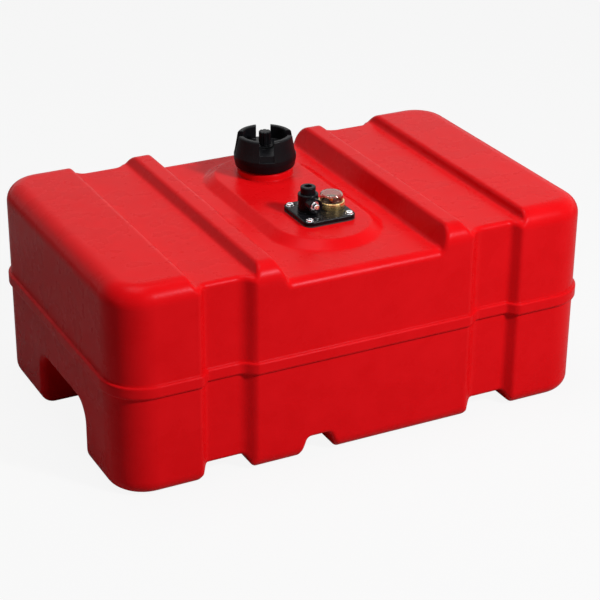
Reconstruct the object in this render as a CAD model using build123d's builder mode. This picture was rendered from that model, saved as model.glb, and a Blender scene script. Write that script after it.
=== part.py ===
"""Outboard fuel tank: a moulded shell with a vented filler cap and a pick-up head with a float gauge.

Millimetres. The origin is on the ground in the middle of the tank's footprint. +X runs along the
tank's length, -Y is the front face and +Z is up.
"""
import os

from build123d import *

os.makedirs("parts", exist_ok=True)

# ---- shell ----
body_length = 600.0
body_width = 378.0
body_height = 250.0
wall = 5.0
corner_radius = 45.0        # upright corners
top_radius = 22.0           # top edges of the end blocks and ridges
base_radius = 17.0          # bottom edges
groove_offset = 171.0       # middle of a strap groove from the middle of the tank
groove_floor = 45.0         # on the front and the back
groove_depth = 11.0
block_slope = 9.0           # run of the groove wall on the end block's side
ridge_slope = 12.0          # run of the groove wall on the ridge's side
block_bend = 8.0            # both bends of the wall on the end block's side
ridge_bend = 16.0           # both bends of the wall on the ridge's side
groove_corner = 6.0         # where a groove turns from the front or back onto the top
top_groove_floor = 72.0     # the same groove across the top, wider and with steeper walls
top_block_slope = 2.5
top_ridge_slope = 6.5
ridge_width = 29.0          # from the groove's lip on the front to the deck's lip
deck_slope = 11.0           # run of the wall between a ridge and the deck
deck_drop = 24.0
deck_edge_radius = 12.0
lip_radius = 7.0            # outward edges of grooves, channels and deck walls
root_radius = 6.0           # inward edges of grooves, channels and deck walls
belt_height = 14.0
belt_depth = 3.5
belt_level = 130.0
belt_edge = 1.6
strap_channel_height = 18.5
strap_channel_roof = 49.0
middle_channel_height = 26.0
middle_channel_roof = 28.0
middle_channel_x = -57.0
channel_slope = 10.0
handhold_y = -10.0          # middle of a finger notch, a little nearer the front
handhold_width = 140.0
handhold_height = 70.0
handhold_land = 14.5        # between a strap channel's lip and the notch beside it
handhold_radius = 22.0
handhold_lip = 8.0
mould_radius = 5.0          # every other sharp edge of the shell's outside
mould_angle = 35.0          # edges sharper than this are rounded by mould_radius
corner_angle = 80.0         # edges sharper than this in a groove's corner get its radius

# ---- pad, neck and port ----
pad_x = 5.0
pad_front = 64.0            # from the front face to the pad's rim
pad_back = 41.0             # from the back face to the pad's rim
pad_radius = 57.0
pad_height = 8.5
pad_slope = 14.0
pad_edge = 4.0
pad_foot = 5.0
filler_x = 11.0
filler_back = 96.0          # from the back face to the neck's axis
collar_radius = 34.0
collar_height = 8.5
collar_edge = 1.5
neck_radius = 30.3
neck_bore = 26.5
neck_height = 27.1
port_shift_x = 3.0          # the port's axis from the middle of the pick-up head
port_shift_y = 0.5
port_radius = 25.0

# ---- thread between neck and cap ----
thread_pitch = 5.0
thread_turns = 2.0
cap_thread_turns = 1.25
thread_foot = 1.2           # half the ridge's width where it meets its wall
thread_crest = 0.5
thread_rise = 2.0
thread_bite = 0.4           # how far a ridge is rooted in its wall
neck_thread_drop = 14.0     # start of the neck's ridge below the rim

# ---- cap ----
cap_inner = 33.0
cap_foot_radius = 36.3
cap_base_radius = 38.0
cap_waist_radius = 36.4
cap_top_radius = 33.6
cap_skirt = 16.0            # the skirt's lower end below the neck's rim
cap_taper = 9.0             # from the skirt's lower end up to the widest band
cap_band = 5.0              # height of the widest band
cap_deck = 4.0
cap_crown = 17.0
crown_wall = 6.0
crown_gap = 18.0
crown_gap_angle = 68.0
crown_count = 4
flute_depth = 2.4
crown_gap_edge = 2.0
cap_skirt_edge = 1.0
cap_band_edge = 3.0
cap_waist_edge = 8.0
cap_crown_edge = 2.0
cap_inside_edge = 1.5
cap_gasket_thickness = 2.0
cap_gasket_inner = 27.0
cap_gasket_outer = 32.0
seat_gap = 0.1              # flat faces of pieces that turn on each other
vent_boss_radius = 10.0
vent_boss_height = 2.0
vent_boss_edge = 0.5
vent_tube_radius = 8.0
vent_tube_drop = 5.0
baffle_radius = 20.0
baffle_thickness = 1.5
baffle_hole = 2.0
baffle_holes = 6
vent_shank = 3.0
vent_shank_drop = 8.0
vent_seal_thickness = 1.2
vent_seal_outer = 5.6
vent_knob_radius = 7.5
vent_knob_height = 16.5
vent_knob_flutes = 8
vent_flute_radius = 1.1
running = 0.05              # radial clearance of a shaft in its bearing

# ---- pick-up head ----
head_x = 10.0
head_front = 136.0          # from the front face to the middle of the head
head_size = 66.0
head_thickness = 5.0
head_corner = 10.0
screw_spacing = 51.0
screw_shank = 2.45
screw_head = 4.2
screw_head_height = 2.4
screw_crown = 1.0
screw_slot = 1.05
screw_slot_depth = 1.6
screw_length = 16.0
screw_recess = 1.6
screw_recess_depth = 1.2
washer_radius = 4.8
washer_thickness = 0.8
screw_hole = 2.7
insert_radius = 3.5
insert_length = 10.0
insert_sink = 0.3
insert_boss = 6.5
insert_boss_depth = 14.0
gasket_thickness = 1.5
spigot_gap = 0.5
spigot_wall = 2.5
spigot_drop = 5.0
tower_shift_x = -13.0       # the tower's axis from the middle of the head
tower_shift_y = 4.0
tower_radius = 12.0
tower_height = 21.0
tower_edge = 1.5
outlet_height = 11.0        # outlet axis above the flange
shroud_radius = 8.5
shroud_reach = 20.0         # from the tower's axis to the shroud's mouth
shroud_bore = 6.5
shroud_depth = 6.0
passage_radius = 2.5
plug_radius = 9.0
plug_height = 8.5
plug_shank = 5.0
plug_shank_length = 5.0
plug_hex = 5.0
plug_hex_depth = 4.25
tube_boss_radius = 7.0
tube_boss_drop = 12.0
tube_radius = 4.0
tube_bore = 2.8
tube_clearance = 9.0        # the tube's lower end above the tank's floor
strainer_radius = 6.5
strainer_wall = 1.2
strainer_height = 20.0
strainer_gap = 3.0          # under the strainer
strainer_slots = 6
strainer_slot_width = 2.6

# ---- outlet nipple and its valve ----
nipple_radius = 3.5
nipple_reach = 9.0          # past the bottom of the shroud's recess
nipple_collar = 5.5
nipple_collar_length = 2.0
nipple_root = 10.0          # screwed into the tower
nipple_bore = 2.2
nipple_orifice = 1.3
nipple_tip = 2.0
nipple_seal_wire = 0.5
pin_stem = 1.1
pin_head = 1.95
pin_head_length = 1.5
pin_stand = 1.2             # stem standing out of the tip
pin_tail = 0.9
pin_tail_length = 5.0
spring_radius = 1.55
spring_wire = 0.25
spring_coils = 6.0
seat_length = 1.5           # ring pressed into the nipple's root behind the spring
seat_hole = 1.2

# ---- float gauge ----
gauge_shift_x = 16.0        # the gauge's axis from the middle of the head
gauge_shift_y = 1.0
gauge_base_radius = 14.5
gauge_base_height = 3.0
gauge_boss_radius = 11.3
gauge_boss_height = 6.0
dial_thickness = 0.8
dial_hole = 2.2
lens_radius = 13.5
lens_wall = 1.5
lens_height = 13.5
lens_foot_height = 2.0
lens_seal_thickness = 1.0
lens_edge = 2.5
ring_radius = 15.5
ring_lip = 2.0
ring_fit = 0.15
cage_collar_radius = 11.3
cage_collar_drop = 10.0
rod_radius = 1.5
rod_spacing = 15.0
rod_head = 2.6
rod_head_height = 1.5
foot_radius = 11.0
foot_thickness = 4.0
foot_clearance = 17.0       # under the cage foot, above the tank's floor
pivot_radius = 1.2
spindle_radius = 1.5
spindle_shoulder = 3.5
spindle_shoulder_height = 1.8
strip_width = 7.0
strip_thickness = 0.9
strip_twist = 270.0         # turn of the pointer from empty to full
float_radius = 11.4
float_height = 30.0
float_bore = 4.4
float_rod_clearance = 0.35
float_gap = 0.3
follower_thickness = 3.0
follower_radius = 9.6
follower_slot_width = 7.6
follower_slot = 1.7
float_top_gap = 5.0
pointer_hub = 2.6
pointer_hub_height = 2.5
pointer_length = 9.5
pointer_shoulder = 6.65
pointer_width = 1.8
pointer_thickness = 1.0
pointer_gap = 1.2

# ---- shapes that every cutter shares ----
crease = 1.2                # cutters leave the outer faces at this rise over crease_run
crease_run = 8.0
cutter_reach = 40.0         # how far cutters stand outside the shell
path_margin = 0.4           # the deck cutter's path outside the front and back faces
level_match = 0.01          # how close to a level an edge counts as lying in it

# ---- levels and places worked out from the sizes above ----
floor_z = wall
deck_z = body_height - deck_drop
pad_z = deck_z + pad_height
channel_lip_x = groove_offset + strap_channel_roof / 2 + channel_slope
handhold_depth = body_length / 2 - channel_lip_x - handhold_land
pad_y = (pad_front - pad_back) / 2
pad_span = body_width - pad_front - pad_back - 2 * pad_radius
filler_y = body_width / 2 - filler_back
head_y = head_front - body_width / 2
port_x = head_x + port_shift_x
port_y = head_y + port_shift_y
tower_x = head_x + tower_shift_x
tower_y = head_y + tower_shift_y
gauge_x = head_x + gauge_shift_x
gauge_y = head_y + gauge_shift_y
rim_z = pad_z + neck_height
ceiling_z = rim_z + cap_gasket_thickness + 2 * seat_gap
cap_deck_z = ceiling_z + cap_deck
cap_top_z = cap_deck_z + cap_crown
cap_bottom_z = rim_z - cap_skirt
vent_boss_z = cap_deck_z + vent_boss_height
vent_tube_z = ceiling_z - vent_tube_drop
knob_z = vent_boss_z + vent_seal_thickness + 2 * seat_gap
head_bottom_z = pad_z + gasket_thickness
head_z = head_bottom_z + head_thickness
outlet_z = head_z + outlet_height
tower_z = head_z + tower_height
shroud_y = tower_y - shroud_reach
recess_y = shroud_y + shroud_depth
nipple_y = recess_y - 2 * nipple_seal_wire - nipple_collar_length
nipple_end_y = recess_y - nipple_reach
nipple_root_y = recess_y + nipple_root
collar_z = head_bottom_z - cage_collar_drop
foot_bottom_z = floor_z + foot_clearance
foot_z = foot_bottom_z + foot_thickness
strip_top_z = collar_z - seat_gap - spindle_shoulder_height
strip_bottom_z = foot_z + float_gap
float_bottom_z = foot_z + float_gap
follower_z = float_bottom_z + float_height
float_travel = strip_top_z - float_top_gap - follower_z - follower_thickness
twist_rate = strip_twist / float_travel
dial_z = head_z + gauge_boss_height
lens_seal_z = head_z + gauge_base_height
lens_z = lens_seal_z + lens_seal_thickness
ring_inner = gauge_base_radius + ring_fit
pointer_z = dial_z + dial_thickness + pointer_gap
tube_end_z = floor_z + tube_clearance
strainer_z = floor_z + strainer_gap
screw_spots = GridLocations(screw_spacing, screw_spacing, 2, 2)
filler_axis = Axis((filler_x, filler_y, 0), (0, 0, 1))
filler_section = Plane(origin=(filler_x, filler_y, 0), x_dir=(1, 0, 0), z_dir=(0, -1, 0))
gauge_axis = Axis((gauge_x, gauge_y, 0), (0, 0, 1))
gauge_section = Plane(origin=(gauge_x, gauge_y, 0), x_dir=(1, 0, 0), z_dir=(0, -1, 0))


def level(x, y, z, turn=0.0):
    """A horizontal sketch plane at a point, turned about its own upright axis."""
    return Plane(origin=(x, y, z), z_dir=(0, 0, 1)).rotated((0, 0, turn))


def outlet_plane(y):
    """A sketch plane on the outlet's axis that faces +Y."""
    return Plane(origin=(tower_x, y, outlet_z), x_dir=(-1, 0, 0), z_dir=(0, 1, 0))


def trough(lip_a, floor_a, floor_b, lip_b, depth, bends):
    """Section of a trough cut into a face: floor at 0, the face at -depth, open far outside it.

    The bends are the radii at lip a, floor a, floor b and lip b.
    """
    FilletPolyline(
        (lip_a - crease_run, -depth - crease),
        (lip_a, -depth),
        (floor_a, 0),
        (floor_b, 0),
        (lip_b, -depth),
        (lip_b + crease_run, -depth - crease),
        (lip_b + crease_run, -depth - cutter_reach),
        (lip_a - crease_run, -depth - cutter_reach),
        radius=[0, *bends, 0, 0, 0],
        close=True,
    )


def groove_section(inset):
    """Section of a strap groove on the front, from the ridge's side to the end block's."""
    half = groove_floor / 2 + inset
    trough(
        -half - ridge_slope, -half, half, half + block_slope, groove_depth,
        [ridge_bend, ridge_bend, block_bend, block_bend],
    )


def upright_grooves(inset):
    """Both strap grooves up the front and the back."""
    floor_y = body_width / 2 - groove_depth - inset
    start = Plane(
        origin=(groove_offset, -floor_y, -cutter_reach), x_dir=(1, 0, 0), z_dir=(0, 0, 1)
    )
    with BuildPart() as cutter:
        with BuildSketch(start):
            with BuildLine():
                groove_section(inset)
            make_face()
        extrude(amount=body_height + 2 * cutter_reach)
        mirror(about=Plane.YZ)
        mirror(about=Plane.XZ)
    return cutter.part


def crossing(floor_z, edge_radius, inset):
    """The path of a trough across the top that rounds its own front and back edges."""
    edge_y = body_width / 2 - inset + path_margin
    FilletPolyline(
        (-edge_y, floor_z - cutter_reach),
        (-edge_y, floor_z),
        (edge_y, floor_z),
        (edge_y, floor_z - cutter_reach),
        radius=edge_radius - inset / 2,
    )


def crossing_start(middle_x, floor_z, inset):
    """The sketch plane at the front end of such a path."""
    edge_y = body_width / 2 - inset + path_margin
    return Plane(
        origin=(middle_x, -edge_y, floor_z - cutter_reach), x_dir=(1, 0, 0), z_dir=(0, 0, 1)
    )


def top_grooves(inset):
    """Both strap grooves across the top."""
    groove_z = body_height - groove_depth - inset
    half = top_groove_floor / 2 + inset
    with BuildPart() as cutter:
        with BuildLine(Plane.YZ.offset(groove_offset)) as path:
            crossing(groove_z, top_radius - groove_depth, inset)
        with BuildSketch(crossing_start(groove_offset, groove_z, inset)):
            with BuildLine():
                trough(
                    -half - top_ridge_slope, -half, half, half + top_block_slope, groove_depth,
                    [lip_radius, root_radius, root_radius, lip_radius],
                )
            make_face()
        sweep(path=path.line)
        mirror(about=Plane.YZ)
    return cutter.part


def deck_recess(inset):
    """The lowered middle, with the rounding of its front and back edges."""
    recess_z = deck_z - inset
    half = groove_offset - groove_floor / 2 - ridge_slope - ridge_width - deck_slope + inset
    with BuildPart() as cutter:
        with BuildLine(Plane.YZ) as path:
            crossing(recess_z, deck_edge_radius, inset)
        with BuildSketch(crossing_start(0, recess_z, inset)):
            with BuildLine():
                trough(
                    -half - deck_slope, -half, half, half + deck_slope, deck_drop,
                    [lip_radius, root_radius, root_radius, lip_radius],
                )
            make_face()
        sweep(path=path.line)
    return cutter.part


def channel(middle_x, roof, height, inset):
    """A channel under the tank, running from the front to the back."""
    half = roof / 2 + inset
    start = Plane(
        origin=(middle_x, body_width, height + inset), x_dir=(-1, 0, 0), z_dir=(0, 1, 0)
    )
    with BuildPart() as cutter:
        with BuildSketch(start):
            with BuildLine():
                trough(
                    -half - channel_slope, -half, half, half + channel_slope, height,
                    [lip_radius, root_radius, root_radius, lip_radius],
                )
            make_face()
        extrude(amount=-2 * body_width)
    return cutter.part


def handholds(inset):
    """Both finger notches under the tank's ends."""
    high = handhold_height + inset
    wide = handhold_width + 2 * inset
    with BuildPart() as cutter:
        with BuildSketch(Plane.YZ.offset(body_length / 2 - handhold_depth - inset)):
            with Locations((handhold_y, high)):
                Rectangle(wide, high + cutter_reach, align=(Align.CENTER, Align.MAX))
        extrude(amount=handhold_depth + cutter_reach)
        roof_edges = cutter.edges().filter_by(Axis.X).group_by(Axis.Z)[-1]
        fillet(roof_edges, handhold_radius)
        inner_edges = cutter.faces().sort_by(Axis.X)[0].edges().group_by(Axis.Z)[1:]
        fillet(inner_edges, handhold_radius / 2)
        mirror(about=Plane.YZ)
    return cutter.part


def pad(inset):
    """The raised stadium that carries the neck and the pick-up head."""
    with BuildPart() as form:
        with BuildSketch(level(pad_x, pad_y, deck_z - inset, 90)):
            SlotCenterToCenter(pad_span, 2 * (pad_radius + pad_slope - inset))
        with BuildSketch(level(pad_x, pad_y, pad_z - inset, 90)):
            SlotCenterToCenter(pad_span, 2 * (pad_radius - inset))
        loft(ruled=True)
    return form.part


def face_angles(form):
    """Each edge of a form with the angle in degrees between the two faces that meet in it."""
    meeting = {}
    for face in form.faces():
        for edge in face.edges():
            normal = face.normal_at(edge.position_at(0.5))
            meeting.setdefault(edge, []).append(normal)
    return [
        (edge, normals[0].get_angle(normals[1]))
        for edge, normals in meeting.items() if len(normals) == 2
    ]


def tank_form(inset):
    """The shell's outside, or its inside when the inset is the wall."""
    with BuildPart() as form:
        with BuildSketch(Plane.XY.offset(inset)):
            RectangleRounded(
                body_length - 2 * inset, body_width - 2 * inset, corner_radius - inset
            )
        extrude(amount=body_height - 2 * inset)
        fillet(form.edges().group_by(Axis.Z)[-1], top_radius - inset)
        fillet(form.edges().group_by(Axis.Z)[0], base_radius - inset)
        add(top_grooves(inset), mode=Mode.SUBTRACT)
        add(upright_grooves(inset), mode=Mode.SUBTRACT)
        add(deck_recess(inset), mode=Mode.SUBTRACT)
        for side in (-1, 1):
            middle_x = side * groove_offset
            add(
                channel(middle_x, strap_channel_roof, strap_channel_height, inset),
                mode=Mode.SUBTRACT,
            )
        add(
            channel(middle_channel_x, middle_channel_roof, middle_channel_height, inset),
            mode=Mode.SUBTRACT,
        )
        add(handholds(inset), mode=Mode.SUBTRACT)
        add(pad(inset))
    return form.part


def turns_in_groove(edge):
    """Whether an edge is where a groove's floor turns from the front or back onto the top."""
    middle = edge.center()
    return (
        abs(abs(middle.X) - groove_offset) < groove_floor / 2 + ridge_slope
        and abs(middle.Z - body_height + groove_depth) < level_match + groove_depth / 2
        and abs(middle.Y) > body_width / 2 - top_radius
    )


def in_handhold(edge):
    """Whether an edge belongs to a finger notch's mouth."""
    bounds = edge.bounding_box()
    inner_x = body_length / 2 - handhold_depth
    return (
        min(abs(bounds.min.X), abs(bounds.max.X)) > inner_x - level_match
        and bounds.min.Y > handhold_y - handhold_width / 2 - level_match
        and bounds.max.Y < handhold_y + handhold_width / 2 + level_match
        and bounds.max.Z < handhold_height + level_match
    )


def on_pad_foot(edge):
    """Whether an edge is where the pad rises from the deck."""
    bounds = edge.bounding_box()
    return (
        abs(bounds.min.Z - deck_z) < level_match
        and abs(bounds.max.Z - deck_z) < level_match
        and bounds.size.X < 2 * (pad_radius + pad_slope) + level_match
    )


def outer_form():
    """The shell's outside with its sharp edges rounded."""
    with BuildPart() as form:
        add(tank_form(0))
        corners = [
            edge for edge, angle in face_angles(form.part)
            if angle > corner_angle and turns_in_groove(edge)
        ]
        fillet(corners, groove_corner)
        mouths = [
            edge for edge, angle in face_angles(form.part)
            if angle > mould_angle and in_handhold(edge)
        ]
        fillet(mouths, handhold_lip)
        fillet(form.edges().filter_by(on_pad_foot), pad_foot)
        sharp = [edge for edge, angle in face_angles(form.part) if angle > mould_angle]
        fillet(sharp, mould_radius)
        fillet(form.edges().filter_by(
            lambda edge: abs(edge.bounding_box().min.Z - pad_z) < level_match
        ), pad_edge)
    return form.part


def belt():
    """The parting-line belt, which follows the shell's outline through the grooves."""
    with BuildPart() as form:
        with BuildSketch(Plane.XY.offset(belt_level - belt_height / 2)) as outline:
            RectangleRounded(body_length, body_width, corner_radius)
            with BuildSketch(Plane.XY, mode=Mode.PRIVATE) as notch:
                with BuildLine():
                    groove_section(0)
                make_face()
            front = notch.sketch.moved(
                Location((groove_offset, groove_depth - body_width / 2, 0))
            )
            right = [front, front.mirror(Plane.XZ)]
            left = [shape.mirror(Plane.YZ) for shape in right]
            add(right + left, mode=Mode.SUBTRACT)
            offset(amount=belt_depth)
        extrude(amount=belt_height)
        rims = form.edges().group_by(Axis.Z)
        fillet(rims[-1] + rims[0], belt_edge)
    return form.part


def screw_level(z):
    """A sketch plane at the middle of the flange screws."""
    return level(head_x, head_y, z)


def gauge_level(z):
    return level(gauge_x, gauge_y, z)


def filler_level(z):
    return level(filler_x, filler_y, z)


def thread_ridge(radius, start_z, turns, outward):
    """A helical ridge on the filler axis, rooted in a wall of the given radius."""
    side = 1 if outward else -1
    with BuildPart() as ridge:
        with BuildLine() as path:
            Helix(
                pitch=thread_pitch, height=turns * thread_pitch, radius=radius,
                center=(filler_x, filler_y, start_z),
            )
        start = Plane(origin=path.line @ 0, x_dir=(1, 0, 0), z_dir=path.line % 0)
        with BuildSketch(start):
            with BuildLine():
                Polyline(
                    (-side * thread_bite, thread_foot),
                    (side * thread_rise, thread_crest),
                    (side * thread_rise, -thread_crest),
                    (-side * thread_bite, -thread_foot),
                    close=True,
                )
            make_face()
        sweep(path=path.line, is_frenet=True)
    return ridge.part


def finish(part, name):
    """Label a finished piece and write its file."""
    part.label = name
    export_step(part, f"parts/{name}.step")


# ---- the shell ----
with BuildPart() as tank_body:
    add(outer_form())
    with BuildSketch(filler_level(pad_z - wall / 2)):
        Circle(collar_radius)
    extrude(amount=collar_height + wall / 2)
    fillet(
        tank_body.edges().filter_by(GeomType.CIRCLE).filter_by(
            lambda edge: abs(edge.center().Z - pad_z - collar_height) < level_match
        ),
        collar_edge,
    )
    with BuildSketch(filler_level(pad_z)):
        Circle(neck_radius)
    extrude(amount=neck_height)
    chamfer(tank_body.edges().group_by(Axis.Z)[-1], collar_edge / 2)
    add(belt())
    add(tank_form(wall), mode=Mode.SUBTRACT)
    with BuildSketch(screw_level(pad_z - insert_boss_depth)):
        with screw_spots:
            Circle(insert_boss)
    extrude(amount=insert_boss_depth - wall / 2)
    with BuildSketch(filler_level(pad_z - 2 * wall)):
        Circle(neck_bore)
    extrude(amount=2 * wall + neck_height, mode=Mode.SUBTRACT)
    with BuildSketch(level(port_x, port_y, pad_z - 4 * wall)):
        Circle(port_radius)
    extrude(amount=4 * wall, mode=Mode.SUBTRACT)
    with BuildSketch(screw_level(pad_z - insert_sink - insert_length)):
        with screw_spots:
            Circle(insert_radius)
    extrude(amount=insert_length + insert_sink, mode=Mode.SUBTRACT)
    add(thread_ridge(neck_radius, rim_z - neck_thread_drop, thread_turns, True))

with BuildPart() as thread_inserts:
    with BuildSketch(screw_level(pad_z - insert_sink - insert_length)):
        with screw_spots:
            Circle(insert_radius)
            Circle(screw_shank + running, mode=Mode.SUBTRACT)
    extrude(amount=insert_length)

# ---- filler cap ----
with BuildPart() as cap_shell:
    taper_z = cap_bottom_z + cap_taper
    band_z = taper_z + cap_band
    with BuildSketch(filler_section):
        with BuildLine():
            FilletPolyline(
                (cap_inner, cap_bottom_z),
                (cap_foot_radius, cap_bottom_z),
                (cap_base_radius, taper_z),
                (cap_base_radius, band_z),
                (cap_waist_radius, cap_deck_z),
                (cap_top_radius, cap_top_z),
                (cap_top_radius - crown_wall, cap_top_z),
                (cap_top_radius - crown_wall, cap_deck_z),
                (vent_boss_radius, cap_deck_z),
                (vent_boss_radius, vent_boss_z),
                (vent_shank + running, vent_boss_z),
                (vent_shank + running, vent_tube_z),
                (vent_tube_radius, vent_tube_z),
                (vent_tube_radius, ceiling_z),
                (cap_inner, ceiling_z),
                radius=[
                    0, cap_skirt_edge, cap_band_edge, cap_band_edge, cap_waist_edge, cap_crown_edge,
                    cap_inside_edge, cap_inside_edge, vent_boss_edge, vent_boss_edge, 0, 0,
                    vent_boss_edge, 0, cap_skirt_edge,
                ],
                close=True,
            )
        make_face()
    revolve(axis=filler_axis)
    for gap in range(crown_count):
        turn = crown_gap_angle + gap * 360 / crown_count
        with BuildSketch(level(filler_x, filler_y, cap_deck_z, turn)):
            with Locations((cap_top_radius, 0)):
                RectangleRounded(4 * crown_wall, crown_gap, crown_gap_edge)
        extrude(amount=cap_crown, mode=Mode.SUBTRACT)
        with BuildSketch(level(filler_x, filler_y, band_z, turn)):
            with Locations((cap_base_radius, 0)):
                RectangleRounded(2 * flute_depth, crown_gap, flute_depth / 2)
        with BuildSketch(level(filler_x, filler_y, cap_deck_z, turn)):
            with Locations((cap_waist_radius, 0)):
                RectangleRounded(2 * flute_depth, crown_gap, flute_depth / 2)
        loft(mode=Mode.SUBTRACT)
    add(
        thread_ridge(
            cap_inner, rim_z - neck_thread_drop + thread_pitch / 2, cap_thread_turns, False
        )
    )

with BuildPart() as cap_gasket:
    with BuildSketch(filler_level(rim_z + seat_gap)):
        Circle(cap_gasket_outer)
        Circle(cap_gasket_inner, mode=Mode.SUBTRACT)
    extrude(amount=cap_gasket_thickness)

with BuildPart() as splash_baffle:
    with BuildSketch(filler_level(vent_tube_z)):
        Circle(baffle_radius)
        Circle(vent_tube_radius + running, mode=Mode.SUBTRACT)
        with PolarLocations((baffle_radius + vent_tube_radius) / 2, baffle_holes):
            Circle(baffle_hole, mode=Mode.SUBTRACT)
    extrude(amount=baffle_thickness)

with BuildPart() as vent_screw:
    with BuildSketch(filler_level(vent_boss_z - cap_deck - vent_shank_drop)):
        Circle(vent_shank)
    extrude(amount=knob_z - vent_boss_z + cap_deck + vent_shank_drop)
    with BuildSketch(filler_level(knob_z)):
        Circle(vent_knob_radius)
        with PolarLocations(vent_knob_radius, vent_knob_flutes):
            Circle(vent_flute_radius, mode=Mode.SUBTRACT)
    extrude(amount=vent_knob_height)
    fillet(vent_screw.edges().group_by(Axis.Z)[-1], vent_flute_radius)

with BuildPart() as vent_seal:
    with BuildSketch(filler_level(vent_boss_z + seat_gap)):
        Circle(vent_seal_outer)
        Circle(vent_shank + running, mode=Mode.SUBTRACT)
    extrude(amount=vent_seal_thickness)

# ---- pick-up head ----
with BuildPart() as flange_gasket:
    with BuildSketch(screw_level(pad_z)):
        RectangleRounded(head_size, head_size, head_corner)
        with screw_spots:
            Circle(screw_hole, mode=Mode.SUBTRACT)
    extrude(amount=gasket_thickness)
    with BuildSketch(level(port_x, port_y, pad_z)):
        Circle(port_radius)
    extrude(amount=gasket_thickness, mode=Mode.SUBTRACT)

with BuildPart() as pickup_head:
    with BuildSketch(screw_level(head_bottom_z)):
        RectangleRounded(head_size, head_size, head_corner)
    extrude(amount=head_thickness)
    fillet(pickup_head.edges().group_by(Axis.Z)[-1], tower_edge)
    with BuildSketch(level(port_x, port_y, head_bottom_z - gasket_thickness - spigot_drop)):
        Circle(port_radius - spigot_gap)
        Circle(port_radius - spigot_gap - spigot_wall, mode=Mode.SUBTRACT)
    extrude(amount=gasket_thickness + spigot_drop)
    with BuildSketch(level(tower_x, tower_y, head_z)):
        Circle(tower_radius)
    extrude(amount=tower_height)
    fillet(pickup_head.edges().group_by(Axis.Z)[-1], tower_edge)
    with BuildSketch(outlet_plane(shroud_y)):
        Circle(shroud_radius)
    extrude(amount=shroud_reach)
    with BuildSketch(level(tower_x, tower_y, head_bottom_z - tube_boss_drop)):
        Circle(tube_boss_radius)
    extrude(amount=tube_boss_drop)
    with BuildSketch(gauge_level(collar_z)):
        Circle(cage_collar_radius)
    extrude(amount=cage_collar_drop)
    with BuildSketch(gauge_level(head_z)):
        Circle(gauge_base_radius)
    extrude(amount=gauge_base_height)
    with BuildSketch(gauge_level(head_z)):
        Circle(gauge_boss_radius)
    extrude(amount=gauge_boss_height)
    with BuildSketch(outlet_plane(shroud_y)):
        Circle(shroud_bore)
    extrude(amount=shroud_depth, mode=Mode.SUBTRACT)
    with BuildSketch(outlet_plane(recess_y)):
        Circle(nipple_radius)
    extrude(amount=nipple_root, mode=Mode.SUBTRACT)
    with BuildSketch(outlet_plane(recess_y)):
        Circle(passage_radius)
    extrude(amount=tower_y - recess_y, mode=Mode.SUBTRACT)
    with BuildSketch(level(tower_x, tower_y, head_bottom_z)):
        Circle(passage_radius)
    extrude(amount=tower_z - head_bottom_z, mode=Mode.SUBTRACT)
    with BuildSketch(level(tower_x, tower_y, head_bottom_z - tube_boss_drop)):
        Circle(tube_radius)
    extrude(amount=tube_boss_drop, mode=Mode.SUBTRACT)
    with BuildSketch(level(tower_x, tower_y, tower_z - plug_shank_length)):
        Circle(plug_shank)
    extrude(amount=plug_shank_length, mode=Mode.SUBTRACT)
    with BuildSketch(gauge_level(collar_z)):
        Circle(spindle_radius + running)
        with GridLocations(rod_spacing, 0, 2, 1):
            Circle(rod_radius)
    extrude(amount=cage_collar_drop, mode=Mode.SUBTRACT)
    with BuildSketch(gauge_level(head_bottom_z)):
        Circle(spindle_radius + running)
    extrude(amount=head_thickness + gauge_boss_height, mode=Mode.SUBTRACT)
    with BuildSketch(screw_level(head_bottom_z)):
        with screw_spots:
            Circle(screw_hole)
    extrude(amount=head_thickness, mode=Mode.SUBTRACT)
    with BuildSketch(screw_level(head_z - screw_recess_depth)):
        with screw_spots:
            Circle(washer_radius + screw_recess)
    extrude(amount=screw_recess_depth, mode=Mode.SUBTRACT)

washer_z = head_z - screw_recess_depth
with BuildPart() as screw_washers:
    with BuildSketch(screw_level(washer_z)):
        with screw_spots:
            Circle(washer_radius)
            Circle(screw_hole, mode=Mode.SUBTRACT)
    extrude(amount=washer_thickness)

with BuildPart() as flange_screws:
    with BuildSketch(screw_level(washer_z + washer_thickness - screw_length)):
        with screw_spots:
            Circle(screw_shank)
    extrude(amount=screw_length)
    with BuildSketch(screw_level(washer_z + washer_thickness)):
        with screw_spots:
            Circle(screw_head)
    extrude(amount=screw_head_height)
    fillet(flange_screws.edges().group_by(Axis.Z)[-1], screw_crown)
    with BuildSketch(screw_level(washer_z + washer_thickness + screw_head_height)):
        with screw_spots:
            Rectangle(screw_head, screw_slot)
            Rectangle(screw_slot, screw_head)
    extrude(amount=-screw_slot_depth, mode=Mode.SUBTRACT)

with BuildPart() as tower_plug:
    with BuildSketch(level(tower_x, tower_y, tower_z - plug_shank_length)):
        Circle(plug_shank)
    extrude(amount=plug_shank_length)
    with BuildSketch(level(tower_x, tower_y, tower_z)):
        Circle(plug_radius)
    extrude(amount=plug_height)
    fillet(tower_plug.edges().group_by(Axis.Z)[-1], tower_edge)
    with BuildSketch(level(tower_x, tower_y, tower_z + plug_height)):
        RegularPolygon(plug_hex, 6)
    extrude(amount=-plug_hex_depth, mode=Mode.SUBTRACT)

with BuildPart() as pickup_tube:
    with BuildSketch(level(tower_x, tower_y, tube_end_z)):
        Circle(tube_radius)
        Circle(tube_bore, mode=Mode.SUBTRACT)
    extrude(amount=head_bottom_z - tube_end_z)

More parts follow.
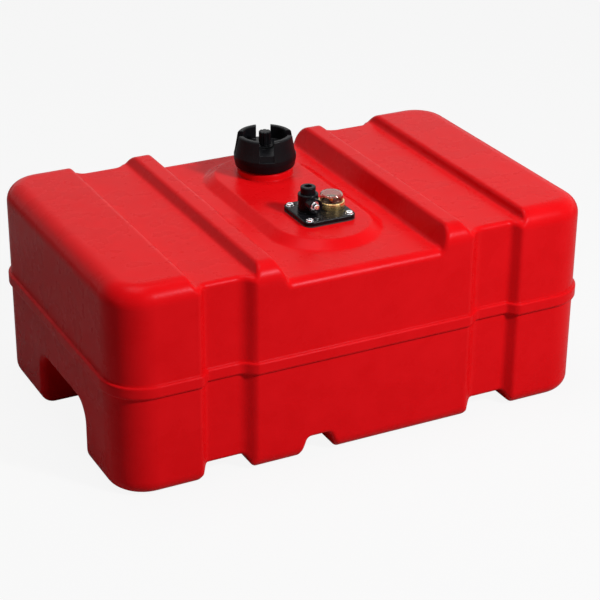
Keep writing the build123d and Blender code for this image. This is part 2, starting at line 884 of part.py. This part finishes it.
with BuildPart() as pickup_strainer:
    with BuildSketch(level(tower_x, tower_y, strainer_z)):
        Circle(strainer_radius)
    extrude(amount=strainer_height)
    with BuildSketch(level(tower_x, tower_y, strainer_z + strainer_wall)):
        Circle(strainer_radius - strainer_wall)
    extrude(amount=strainer_height - 3 * strainer_wall, mode=Mode.SUBTRACT)
    with BuildSketch(level(tower_x, tower_y, tube_end_z)):
        Circle(tube_radius)
    extrude(amount=strainer_height, mode=Mode.SUBTRACT)
    with BuildSketch(level(tower_x, tower_y, strainer_z + 2 * strainer_wall)):
        with PolarLocations(strainer_radius, strainer_slots):
            Rectangle(4 * strainer_wall, strainer_slot_width)
    extrude(amount=strainer_height - 6 * strainer_wall, mode=Mode.SUBTRACT)

# ---- outlet nipple and its valve ----
with BuildPart() as outlet_nipple:
    with BuildSketch(outlet_plane(nipple_end_y)):
        Circle(nipple_radius)
    extrude(amount=nipple_root_y - nipple_end_y)
    with BuildSketch(outlet_plane(nipple_y)):
        Circle(nipple_collar)
    extrude(amount=nipple_collar_length)
    with BuildSketch(outlet_plane(nipple_end_y + nipple_tip)):
        Circle(nipple_bore)
    extrude(amount=nipple_root_y - nipple_end_y, mode=Mode.SUBTRACT)
    with BuildSketch(outlet_plane(nipple_end_y)):
        Circle(nipple_orifice)
    extrude(amount=2 * nipple_tip, mode=Mode.SUBTRACT)
    chamfer(outlet_nipple.edges().group_by(Axis.Y)[0].sort_by(SortBy.LENGTH)[-1], pin_tail)

with BuildPart() as nipple_seal:
    with BuildSketch(Plane(
        origin=(tower_x, recess_y - nipple_seal_wire, outlet_z), x_dir=(1, 0, 0), z_dir=(0, 0, 1)
    )):
        with Locations((nipple_radius + nipple_seal_wire, 0)):
            Circle(nipple_seal_wire)
    revolve(axis=Axis((tower_x, nipple_y, outlet_z), (0, 1, 0)))

head_seat_y = nipple_end_y + nipple_tip + running
with BuildPart() as valve_pin:
    with BuildSketch(outlet_plane(nipple_end_y - pin_stand)):
        Circle(pin_stem)
    extrude(amount=head_seat_y - nipple_end_y + pin_stand)
    with BuildSketch(outlet_plane(head_seat_y)):
        Circle(pin_head)
    extrude(amount=pin_head_length)
    with BuildSketch(outlet_plane(head_seat_y + pin_head_length)):
        Circle(pin_tail)
    extrude(amount=pin_tail_length)

spring_start_y = head_seat_y + pin_head_length + spring_wire + running
spring_end_y = nipple_root_y - seat_length - spring_wire - running
with BuildPart() as valve_spring:
    with BuildLine() as coil:
        Helix(
            pitch=(spring_end_y - spring_start_y) / spring_coils,
            height=spring_end_y - spring_start_y,
            radius=spring_radius,
            center=(tower_x, spring_start_y, outlet_z),
            direction=(0, 1, 0),
        )
    with BuildSketch(Plane(origin=coil.line @ 0, z_dir=coil.line % 0)):
        Circle(spring_wire)
    sweep(path=coil.line, is_frenet=True)

with BuildPart() as spring_seat:
    with BuildSketch(outlet_plane(nipple_root_y - seat_length)):
        Circle(nipple_bore)
        Circle(seat_hole, mode=Mode.SUBTRACT)
    extrude(amount=seat_length)

# ---- float gauge ----
with BuildPart() as gauge_dial:
    with BuildSketch(gauge_level(dial_z)):
        Circle(gauge_boss_radius)
        Circle(dial_hole, mode=Mode.SUBTRACT)
    extrude(amount=dial_thickness)

with BuildPart() as lens_seal:
    with BuildSketch(gauge_level(lens_seal_z)):
        Circle(gauge_base_radius)
        Circle(gauge_boss_radius + running, mode=Mode.SUBTRACT)
    extrude(amount=lens_seal_thickness)

with BuildPart() as gauge_lens:
    with BuildSketch(gauge_section):
        with BuildLine():
            FilletPolyline(
                (lens_radius - lens_wall, lens_z),
                (gauge_base_radius, lens_z),
                (gauge_base_radius, lens_z + lens_foot_height),
                (lens_radius, lens_z + lens_foot_height),
                (lens_radius, lens_z + lens_height),
                (0, lens_z + lens_height),
                (0, lens_z + lens_height - lens_wall),
                (lens_radius - lens_wall, lens_z + lens_height - lens_wall),
                radius=[0, 0, 0, 0, lens_edge, 0, 0, lens_edge - lens_wall / 2],
                close=True,
            )
        make_face()
    revolve(axis=gauge_axis)

with BuildPart() as lens_ring:
    lens_foot_z = lens_z + lens_foot_height
    with BuildSketch(gauge_section):
        with BuildLine():
            Polyline(
                (ring_inner, head_z),
                (ring_radius, head_z),
                (ring_radius, lens_foot_z + ring_lip),
                (lens_radius + ring_fit, lens_foot_z + ring_lip),
                (lens_radius + ring_fit, lens_foot_z),
                (ring_inner, lens_foot_z),
                close=True,
            )
        make_face()
    revolve(axis=gauge_axis)
    fillet(lens_ring.edges().group_by(Axis.Z)[-1].sort_by(SortBy.LENGTH)[-1], ring_lip / 3)

with BuildPart() as guide_rods:
    with BuildSketch(gauge_level(foot_bottom_z)):
        with GridLocations(rod_spacing, 0, 2, 1):
            Circle(rod_radius)
    extrude(amount=head_bottom_z - foot_bottom_z)
    with BuildSketch(gauge_level(foot_bottom_z - rod_head_height)):
        with GridLocations(rod_spacing, 0, 2, 1):
            Circle(rod_head)
    extrude(amount=rod_head_height)

with BuildPart() as cage_foot:
    with BuildSketch(gauge_level(foot_bottom_z)):
        Circle(foot_radius)
        Circle(pivot_radius + running, mode=Mode.SUBTRACT)
        with GridLocations(rod_spacing, 0, 2, 1):
            Circle(rod_radius, mode=Mode.SUBTRACT)
    extrude(amount=foot_thickness)

with BuildPart() as twist_strip:
    strip_length = strip_top_z - strip_bottom_z
    slot_level = follower_z + follower_thickness / 2
    with BuildSketch(gauge_level(strip_bottom_z)) as strip_section:
        Rectangle(
            strip_width, strip_thickness, rotation=-twist_rate * (slot_level - strip_bottom_z)
        )
    add(
        Solid.extrude_linear_with_rotation(
            strip_section.sketch.face(),
            center=(gauge_x, gauge_y, strip_bottom_z),
            normal=(0, 0, strip_length),
            angle=twist_rate * strip_length,
        )
    )
    with BuildSketch(gauge_level(foot_bottom_z)):
        Circle(pivot_radius)
    extrude(amount=foot_thickness + 2 * float_gap)

with BuildPart() as gauge_spindle:
    with BuildSketch(gauge_level(strip_top_z)):
        Circle(spindle_shoulder)
    extrude(amount=spindle_shoulder_height)
    with BuildSketch(gauge_level(strip_top_z)):
        Circle(spindle_radius)
    extrude(amount=pointer_z - strip_top_z)

with BuildPart() as gauge_pointer:
    with BuildSketch(gauge_level(pointer_z)):
        Circle(pointer_hub)
    extrude(amount=pointer_hub_height)
    with BuildSketch(gauge_level(pointer_z)):
        with BuildLine():
            Polyline(
                (-pointer_width / 2, 0),
                (-pointer_width / 2, pointer_shoulder),
                (0, pointer_length),
                (pointer_width / 2, pointer_shoulder),
                (pointer_width / 2, 0),
                close=True,
            )
        make_face()
    extrude(amount=pointer_thickness)

with BuildPart() as gauge_float:
    with BuildSketch(gauge_level(float_bottom_z)):
        Circle(float_radius)
        Circle(float_bore, mode=Mode.SUBTRACT)
        with GridLocations(rod_spacing, 0, 2, 1):
            Circle(rod_radius + float_rod_clearance, mode=Mode.SUBTRACT)
    extrude(amount=float_height)

with BuildPart() as float_follower:
    with BuildSketch(gauge_level(follower_z)):
        Circle(follower_radius)
        Rectangle(follower_slot_width, follower_slot, mode=Mode.SUBTRACT)
        with GridLocations(rod_spacing, 0, 2, 1):
            Circle(rod_radius + float_rod_clearance, mode=Mode.SUBTRACT)
    extrude(amount=follower_thickness)

for name, piece in {
    "tank_body": tank_body,
    "thread_inserts": thread_inserts,
    "cap_shell": cap_shell,
    "cap_gasket": cap_gasket,
    "splash_baffle": splash_baffle,
    "vent_screw": vent_screw,
    "vent_seal": vent_seal,
    "flange_gasket": flange_gasket,
    "pickup_head": pickup_head,
    "screw_washers": screw_washers,
    "flange_screws": flange_screws,
    "tower_plug": tower_plug,
    "pickup_tube": pickup_tube,
    "pickup_strainer": pickup_strainer,
    "outlet_nipple": outlet_nipple,
    "nipple_seal": nipple_seal,
    "valve_pin": valve_pin,
    "valve_spring": valve_spring,
    "spring_seat": spring_seat,
    "gauge_dial": gauge_dial,
    "lens_seal": lens_seal,
    "gauge_lens": gauge_lens,
    "lens_ring": lens_ring,
    "guide_rods": guide_rods,
    "cage_foot": cage_foot,
    "twist_strip": twist_strip,
    "gauge_spindle": gauge_spindle,
    "gauge_pointer": gauge_pointer,
    "gauge_float": gauge_float,
    "float_follower": float_follower,
}.items():
    finish(piece.part, name)
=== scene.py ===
import math

import bmesh
import bpy
from mathutils import Matrix, Vector


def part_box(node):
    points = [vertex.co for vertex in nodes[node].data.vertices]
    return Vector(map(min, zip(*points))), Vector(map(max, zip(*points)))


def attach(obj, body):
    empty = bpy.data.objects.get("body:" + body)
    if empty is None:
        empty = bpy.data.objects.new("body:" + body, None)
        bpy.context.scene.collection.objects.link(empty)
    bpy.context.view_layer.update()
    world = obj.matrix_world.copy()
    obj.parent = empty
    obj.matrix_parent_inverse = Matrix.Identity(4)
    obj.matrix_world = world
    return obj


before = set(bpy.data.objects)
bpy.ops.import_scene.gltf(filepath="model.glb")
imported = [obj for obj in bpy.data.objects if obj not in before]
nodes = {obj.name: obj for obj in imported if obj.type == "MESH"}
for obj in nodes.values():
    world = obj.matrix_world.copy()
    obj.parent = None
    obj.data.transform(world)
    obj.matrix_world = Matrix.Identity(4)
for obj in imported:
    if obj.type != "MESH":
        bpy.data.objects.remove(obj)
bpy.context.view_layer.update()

# ---- places shared with the solids, in metres ----
GAUGE = Vector((0.026, -0.052, 0.0))     # the gauge's upright axis
DIAL_TOP = 0.2478
DIAL_SWEEP = 270                         # degrees that the pointer turns

# ---- the dial's marks, in metres ----
DIAL_TICKS = 9
TICKS_PER_MAJOR = 4
MAJOR_TICK = (0.0030, 0.0007)            # length and width
MINOR_TICK = (0.0018, 0.0004)
TICK_RIM = 0.0098                        # every mark's outer end, from the gauge's axis
TICK_THICKNESS = 0.0003
TICK_LIFT = 0.0001                       # a mark's middle above the dial
TICK_BEVEL = 0.00008

# ---- the fine teeth round the gauge's ring, in metres ----
RING_KNURLS = 64
KNURL_WIDTH = 0.0006
KNURL_BEVEL = 0.00008
RING_MARGIN = Vector((0.0, 0.0, 0.0014)) # bare brass under the teeth; above them, twice that

# ---- the studio ----
FLOOR_SIZE = 12.0
FLOOR_HEIGHT = -0.0002                   # just under the tank, so that the two never share a face
FLOOR_GREY = 0.42                        # how the floor lights the tank
FLOOR_WHITENESS = 0.90                   # how much of the floor's look is plain white
AMBIENT_COLOUR = (0.93, 0.95, 1.0)
AMBIENT_STRENGTH = 0.05

# ---- the camera ----
VIEW_AZIMUTH = math.radians(-27.2010)
VIEW_ELEVATION = math.radians(25.7075)
VIEW_ROLL = math.radians(0.4838)
VIEW_PLACE = Vector((-0.922967, -1.821010, 1.085811))
SENSOR_WIDTH = 36
FOCAL_LENGTH = 112.17
CLIP_START = 0.05
CLIP_END = 60


# ---- materials ----
class Graph:
    """A node tree under construction: nodes are added by kind and wired by socket."""

    def __init__(self, tree):
        self.tree = tree

    def node(self, kind, **values):
        """A node, with values for its inputs or its settings."""
        made = self.tree.nodes.new("ShaderNode" + kind)
        for key, value in values.items():
            if key in made.inputs:
                made.inputs[key].default_value = value
            else:
                setattr(made, key, value)
        return made

    def link(self, out, into):
        self.tree.links.new(out, into)

    def calculate(self, first, second, operation="ADD"):
        """Two sockets, added unless another operation is named."""
        made = self.node("Math", operation=operation)
        self.link(first, made.inputs[0])
        self.link(second, made.inputs[1])
        return made.outputs["Value"]


class Finish(Graph):
    """A material on the solids, with its colour, roughness and layers of bump."""

    def __init__(self, name, colour, roughness, metallic=0.0, ior=1.5):
        self.material = bpy.data.materials.new(name)
        self.material.use_nodes = True
        super().__init__(self.material.node_tree)
        self.shader = self.tree.nodes["Principled BSDF"]
        self.shader.inputs["Base Color"].default_value = (*colour, 1)
        self.shader.inputs["Roughness"].default_value = roughness
        self.shader.inputs["Metallic"].default_value = metallic
        self.shader.inputs["IOR"].default_value = ior
        self.place = self.node("TexCoord").outputs["Object"]
        self.normal = None

    def mapped(self, scale, turn=(0, 0, 0)):
        """Object coordinates, turned and stretched."""
        made = self.node("Mapping", vector_type="POINT", Scale=scale, Rotation=turn)
        self.link(self.place, made.inputs["Vector"])
        return made.outputs["Vector"]

    def noise(self, scale, detail=3.0, rough=0.5, where=None):
        made = self.node("TexNoise", Scale=scale, Detail=detail, Roughness=rough)
        self.link(where or self.place, made.inputs["Vector"])
        return made.outputs["Fac"]

    def cells(self, scale):
        made = self.node("TexVoronoi", Scale=scale)
        self.link(self.place, made.inputs["Vector"])
        return made.outputs["Distance"]

    def mix(self, factor, low, high):
        """Two colours, or sockets, mixed by a socket."""
        made = self.node("Mix", data_type="RGBA")
        self.link(factor, made.inputs["Factor"])
        colour_inputs = [s for s in made.inputs if s.type == "RGBA"]
        for socket, value in zip(colour_inputs, (low, high)):
            if isinstance(value, tuple):
                socket.default_value = (*value, 1)
            else:
                self.link(value, socket)
        return [s for s in made.outputs if s.type == "RGBA"][0]

    def span(self, value, low, high, start=0.0, end=1.0):
        """A value carried from start..end to low..high, clamped."""
        made = self.node("MapRange")
        made.inputs["From Min"].default_value = start
        made.inputs["From Max"].default_value = end
        made.inputs["To Min"].default_value = low
        made.inputs["To Max"].default_value = high
        self.link(value, made.inputs["Value"])
        return made.outputs["Result"]

    def relief(self, height, strength, distance):
        """One more layer of bump over the layers so far."""
        made = self.node("Bump", Strength=strength, Distance=distance)
        self.link(height, made.inputs["Height"])
        if self.normal is not None:
            self.link(self.normal, made.inputs["Normal"])
        self.normal = made.outputs["Normal"]
        self.link(self.normal, self.shader.inputs["Normal"])

    def soft_edges(self, radius):
        """Rounds the shading of every edge, under the layers of bump that follow."""
        made = self.node("Bevel", samples=6, Radius=radius)
        self.normal = made.outputs["Normal"]
        self.link(self.normal, self.shader.inputs["Normal"])
        return made.outputs["Normal"]

    def edge_wear(self, rounded, threshold):
        """Close to 1 where the rounded normal leaves the true one, so near edges."""
        geometry = self.node("NewGeometry")
        dot = self.node("VectorMath", operation="DOT_PRODUCT")
        self.link(rounded, dot.inputs[0])
        self.link(geometry.outputs["Normal"], dot.inputs[1])
        return self.span(dot.outputs["Value"], 1.0, 0.0, start=threshold, end=1.0)

    def colour(self, value):
        self.link(value, self.shader.inputs["Base Color"])

    def rough(self, value):
        self.link(value, self.shader.inputs["Roughness"])


def red_polyethylene():
    """Blow-moulded shell: satin, with a fine orange peel, slow waves and light scuffs."""
    skin = Finish("red_polyethylene", (0.62, 0.007, 0.010), roughness=0.30)
    skin.shader.inputs["Specular IOR Level"].default_value = 0.05
    skin.shader.inputs["Specular Tint"].default_value = (1.0, 0.72, 0.90, 1)
    skin.soft_edges(radius=0.004)
    slow = skin.noise(scale=7.0, detail=2.0)
    cloud = skin.noise(scale=34.0, detail=4.0)
    stretched = skin.mapped((1.0, 9.0, 9.0), turn=(0.2, 0.1, 0.5))
    scratches = skin.noise(scale=60.0, detail=6.0, rough=0.72, where=stretched)
    scuffs = skin.span(scratches, 0.0, 1.0, start=0.70, end=0.84)
    tone = skin.mix(
        skin.span(cloud, 0.0, 1.0, start=0.3, end=0.7),
        (0.62, 0.0032, 0.0050), (0.66, 0.0042, 0.0066),
    )
    skin.colour(skin.mix(scuffs, tone, (0.70, 0.030, 0.036)))
    skin.rough(skin.calculate(
        skin.span(cloud, 0.25, 0.31, start=0.3, end=0.7), skin.span(scuffs, 0.0, 0.05)
    ))
    skin.relief(slow, strength=0.10, distance=0.010)
    skin.relief(skin.noise(scale=420.0), strength=0.09, distance=0.0010)
    skin.relief(skin.cells(scale=1500.0), strength=0.05, distance=0.0004)
    return skin.material


def black_moulding(name, roughness, grain):
    """Black cap and head plastic with a fine spark-eroded grain and rubbed edges."""
    skin = Finish(name, (0.005, 0.005, 0.006), roughness)
    skin.shader.inputs["Specular IOR Level"].default_value = 0.10
    rounded = skin.soft_edges(radius=0.0005)
    wear = skin.edge_wear(rounded, threshold=0.90)
    patches = skin.noise(scale=190.0, detail=5.0, rough=0.6)
    rubbed = skin.calculate(
        wear, skin.span(patches, 0.1, 1.0, start=0.35, end=0.65), "MULTIPLY"
    )
    skin.colour(skin.mix(rubbed, (0.004, 0.004, 0.005), (0.026, 0.027, 0.030)))
    skin.rough(skin.span(patches, roughness - 0.06, roughness + 0.08, start=0.3, end=0.7))
    skin.relief(skin.cells(scale=2600.0), strength=grain, distance=0.0003)
    skin.relief(skin.noise(scale=900.0), strength=grain, distance=0.0003)
    return skin.material


def rubber():
    skin = Finish("seal_rubber", (0.018, 0.018, 0.019), roughness=0.66)
    tone = skin.noise(scale=400.0)
    skin.colour(skin.mix(tone, (0.014, 0.014, 0.015), (0.026, 0.026, 0.027)))
    skin.relief(skin.noise(scale=1800.0, detail=4.0), strength=0.12, distance=0.0003)
    return skin.material


def metal(name, colour, dark, roughness, brush=(1.0, 1.0, 40.0)):
    """A turned or drawn metal, brushed along one way and dulled in patches."""
    skin = Finish(name, colour, roughness, metallic=1.0)
    skin.soft_edges(radius=0.0003)
    lines = skin.noise(scale=500.0, detail=4.0, rough=0.6, where=skin.mapped(brush))
    patches = skin.noise(scale=160.0, detail=4.0)
    skin.colour(skin.mix(skin.span(patches, 0.0, 1.0, start=0.42, end=0.75), colour, dark))
    skin.rough(skin.span(lines, roughness - 0.08, roughness + 0.12, start=0.25, end=0.75))
    skin.relief(lines, strength=0.06, distance=0.0002)
    return skin.material


def natural_nylon():
    skin = Finish("strainer_nylon", (0.70, 0.68, 0.60), roughness=0.45)
    skin.shader.inputs["Subsurface Weight"].default_value = 0.15
    skin.shader.inputs["Subsurface Scale"].default_value = 0.002
    tone = skin.noise(scale=220.0, detail=4.0)
    skin.colour(skin.mix(tone, (0.62, 0.59, 0.50), (0.76, 0.74, 0.67)))
    skin.relief(skin.noise(scale=1300.0), strength=0.08, distance=0.0003)
    return skin.material


def closed_cell_foam():
    skin = Finish("float_foam", (0.09, 0.075, 0.06), roughness=0.85)
    pores = skin.cells(scale=1100.0)
    # painted shade: the foam's colour darkens in the pits that the pore bump sinks, where shade
    # falls
    painted_pit_shade = skin.span(pores, 0.0, 1.0, start=0.1, end=0.6)
    skin.colour(skin.mix(painted_pit_shade, (0.05, 0.04, 0.032), (0.13, 0.11, 0.09)))
    skin.relief(pores, strength=0.5, distance=0.0006)
    return skin.material


def clear_moulding():
    """A smoked clear window, hazy in patches."""
    skin = Finish("clear_lens", (0.64, 0.50, 0.42), roughness=0.04, ior=1.49)
    skin.shader.inputs["Transmission Weight"].default_value = 1.0
    haze = skin.noise(scale=240.0, detail=5.0, rough=0.65)
    skin.rough(skin.span(haze, 0.02, 0.11, start=0.45, end=0.75))
    return skin.material


def dial_print():
    skin = Finish("dial_face", (0.02, 0.02, 0.022), roughness=0.5)
    tone = skin.noise(scale=700.0)
    skin.colour(skin.mix(tone, (0.016, 0.016, 0.018), (0.028, 0.028, 0.030)))
    skin.relief(skin.noise(scale=2400.0), strength=0.06, distance=0.0002)
    return skin.material


def painted(name, colour):
    skin = Finish(name, colour, roughness=0.42)
    darker = tuple(0.8 * part for part in colour)
    skin.colour(skin.mix(skin.noise(scale=900.0), darker, colour))
    skin.relief(skin.noise(scale=2600.0), strength=0.05, distance=0.0002)
    return skin.material


red = red_polyethylene()
cap_black = black_moulding("cap_black", roughness=0.34, grain=0.12)
head_black = black_moulding("head_black", roughness=0.24, grain=0.06)
seal = rubber()
brass = metal("brass", (0.80, 0.58, 0.26), (0.58, 0.40, 0.17), 0.24)
nickel_plate = metal("nickel_plated_brass", (0.80, 0.79, 0.80), (0.60, 0.59, 0.60), 0.16)
bright_steel = metal("bright_steel", (0.84, 0.84, 0.86), (0.62, 0.62, 0.64), 0.14)
spring_steel = metal("spring_steel", (0.60, 0.60, 0.62), (0.40, 0.40, 0.42), 0.25)
aluminium = metal(
    "drawn_aluminium", (0.76, 0.76, 0.78), (0.60, 0.60, 0.62), 0.30, brush=(40.0, 40.0, 1.0)
)
nylon = natural_nylon()
foam = closed_cell_foam()
lens_clear = clear_moulding()
dial_black = dial_print()
pointer_orange = painted("pointer_orange", (0.85, 0.20, 0.02))
mark_white = painted("mark_white", (0.80, 0.79, 0.75))

FINISHES = {
    # the tank and its cap
    "tank_body": red, "thread_inserts": brass, "cap_shell": cap_black, "cap_gasket": seal,
    "splash_baffle": cap_black, "vent_screw": cap_black, "vent_seal": seal,
    # the pick-up head and its outlet
    "flange_gasket": seal, "pickup_head": head_black, "screw_washers": bright_steel,
    "flange_screws": bright_steel, "tower_plug": head_black, "pickup_tube": aluminium,
    "pickup_strainer": nylon, "outlet_nipple": nickel_plate, "nipple_seal": seal,
    "valve_pin": brass, "valve_spring": spring_steel, "spring_seat": brass,
    # the float gauge
    "gauge_dial": dial_black, "lens_seal": seal, "gauge_lens": lens_clear, "lens_ring": brass,
    "guide_rods": aluminium, "cage_foot": nylon, "twist_strip": aluminium,
    "gauge_spindle": aluminium, "gauge_pointer": pointer_orange, "gauge_float": foam,
    "float_follower": nylon,
}
for name, finish in FINISHES.items():
    mesh = nodes[name].data
    mesh.materials.clear()
    mesh.materials.append(finish)


# ---- pieces that the solids leave out ----
def as_object(name, form, finish):
    """A finished bmesh as an object in the scene."""
    mesh = bpy.data.meshes.new(name)
    form.to_mesh(mesh)
    form.free()
    mesh.materials.append(finish)
    made = bpy.data.objects.new(name, mesh)
    bpy.context.scene.collection.objects.link(made)
    return made


def piece(name, form, finish, body):
    """A finished bmesh as an object that rides on a body."""
    bmesh.ops.recalc_face_normals(form, faces=form.faces)
    made = as_object(name, form, finish)
    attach(made, body)


def soften(form, width, segments):
    bmesh.ops.bevel(
        form, geom=form.edges[:], offset=width, offset_type="OFFSET",
        segments=segments, profile=0.5, affect="EDGES", material=-1,
    )


def dial_mark(form, angle, length, width):
    """A raised bar on the dial, pointing at the gauge's axis."""
    turn = Matrix.Rotation(math.radians(angle), 4, "Z")
    place = Matrix.Translation(GAUGE + Vector((0, 0, DIAL_TOP + TICK_LIFT)))
    reach = Matrix.Translation((0, TICK_RIM - length / 2, 0))
    size = Matrix.Diagonal((width, length, TICK_THICKNESS, 1))
    bmesh.ops.create_cube(form, size=1.0, matrix=place @ turn @ reach @ size)


def knurled_band(form, low, high, count, width):
    """Upright ridges round the gauge's brass ring, each a bar set on edge and half sunk."""
    middle = (low + high) / 2
    radius = (middle - low).x
    place = Matrix.Translation(middle)
    size = Matrix.Diagonal((width, width, high.z - low.z, 1))
    on_edge = Matrix.Rotation(math.radians(45), 4, "Z")
    for step in range(count):
        turn = Matrix.Rotation(math.tau * step / count, 4, "Z")
        reach = Matrix.Translation((radius, 0, 0))
        bmesh.ops.create_cube(form, size=1.0, matrix=place @ turn @ reach @ on_edge @ size)


ticks = bmesh.new()
for step in range(DIAL_TICKS):
    length, width = MINOR_TICK if step % TICKS_PER_MAJOR else MAJOR_TICK
    dial_mark(ticks, -step * DIAL_SWEEP / (DIAL_TICKS - 1), length, width)
soften(ticks, TICK_BEVEL, segments=2)
piece("dial_marks", ticks, mark_white, "tank")

ring_low, ring_high = (Vector(corner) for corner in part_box("lens_ring"))
knurls = bmesh.new()
knurled_band(
    knurls, ring_low + RING_MARGIN, ring_high - 2 * RING_MARGIN, RING_KNURLS, KNURL_WIDTH
)
soften(knurls, KNURL_BEVEL, segments=1)
piece("lens_ring_knurls", knurls, brass, "tank")


# ---- the studio ----
def emptied(owner):
    """The node tree of a material or world, with nothing in it."""
    owner.use_nodes = True
    owner.node_tree.nodes.clear()
    return Graph(owner.node_tree)


def white_to(graph, kinds, plain, white, output, whiteness=1.0):
    """Mixes a plain look with white, for rays of the kinds named alone."""
    rays = graph.node("LightPath")
    seen = rays.outputs[kinds[0]]
    for kind in kinds[1:]:
        seen = graph.calculate(seen, rays.outputs[kind], "MAXIMUM")
    share = graph.node("Math", operation="MULTIPLY")
    graph.link(seen, share.inputs[0])
    share.inputs[1].default_value = whiteness
    blend = graph.node("MixShader")
    graph.link(share.outputs["Value"], blend.inputs["Fac"])
    graph.link(plain, blend.inputs[1])
    graph.link(white, blend.inputs[2])
    graph.link(blend.outputs["Shader"], graph.node(output).inputs["Surface"])


paper = bpy.data.materials.new("floor_paper")
graph = emptied(paper)
matt = graph.node("BsdfDiffuse", Color=(FLOOR_GREY, FLOOR_GREY, FLOOR_GREY, 1))
glow = graph.node("Emission", Strength=1.0)
white_to(
    graph, ("Is Camera Ray", "Is Transmission Ray"), matt.outputs["BSDF"],
    glow.outputs["Emission"], "OutputMaterial", FLOOR_WHITENESS,
)

form = bmesh.new()
bmesh.ops.create_grid(form, x_segments=1, y_segments=1, size=FLOOR_SIZE)
bmesh.ops.translate(form, verts=form.verts, vec=(0, 0, FLOOR_HEIGHT))
made = as_object("floor", form, paper)

world = bpy.data.worlds.new("studio")
bpy.context.scene.world = world
graph = emptied(world)
ambient = graph.node("Background", Color=(*AMBIENT_COLOUR, 1), Strength=AMBIENT_STRENGTH)
white = graph.node("Background", Color=(1, 1, 1, 1), Strength=1.0)
white_to(
    graph, ("Is Camera Ray", "Is Glossy Ray", "Is Transmission Ray"),
    ambient.outputs["Background"], white.outputs["Background"], "OutputWorld",
)


def lamp(name, place, aim, width, height, watts):
    """A rectangular area light at a place, turned to face another place."""
    data = bpy.data.lights.new(name, "AREA")
    data.shape = "RECTANGLE"
    data.size = width
    data.size_y = height
    data.energy = watts
    made = bpy.data.objects.new(name, data)
    made.location = place
    made.rotation_mode = "QUATERNION"
    made.rotation_quaternion = (Vector(aim) - Vector(place)).to_track_quat("-Z", "Y")
    bpy.context.scene.collection.objects.link(made)


lamp("key", (0.9, -1.8, 1.7), (0.0, 0.0, 0.10), width=0.30, height=0.26, watts=60)
lamp("overhead", (-0.25, 0.15, 2.4), (0.0, 0.0, 0.2), width=1.3, height=1.0, watts=26)
lamp("left_fill", (-2.6, -0.9, 1.0), (0.0, 0.0, 0.1), width=1.2, height=1.0, watts=1.2)

# ---- the camera's own axes: it looks along -Z, with its upper edge along +Y ----
backward = Vector((
    math.sin(VIEW_AZIMUTH) * math.cos(VIEW_ELEVATION),
    -math.cos(VIEW_AZIMUTH) * math.cos(VIEW_ELEVATION),
    math.sin(VIEW_ELEVATION),
))
sideways = Vector((math.cos(VIEW_AZIMUTH), math.sin(VIEW_AZIMUTH), 0))
upward = backward.cross(sideways)
turned_side = math.cos(VIEW_ROLL) * sideways + math.sin(VIEW_ROLL) * upward
turned_up = -math.sin(VIEW_ROLL) * sideways + math.cos(VIEW_ROLL) * upward
lens = bpy.data.cameras.new("camera")
lens.sensor_width = SENSOR_WIDTH
lens.lens = FOCAL_LENGTH
lens.clip_start = CLIP_START
lens.clip_end = CLIP_END
camera = bpy.data.objects.new("camera", lens)
camera.matrix_world = Matrix((
    (turned_side.x, turned_up.x, backward.x, VIEW_PLACE.x),
    (turned_side.y, turned_up.y, backward.y, VIEW_PLACE.y),
    (turned_side.z, turned_up.z, backward.z, VIEW_PLACE.z),
    (0, 0, 0, 1),
))
bpy.context.scene.collection.objects.link(camera)
bpy.context.scene.camera = camera
bpy.context.scene.view_settings.view_transform = "Standard"
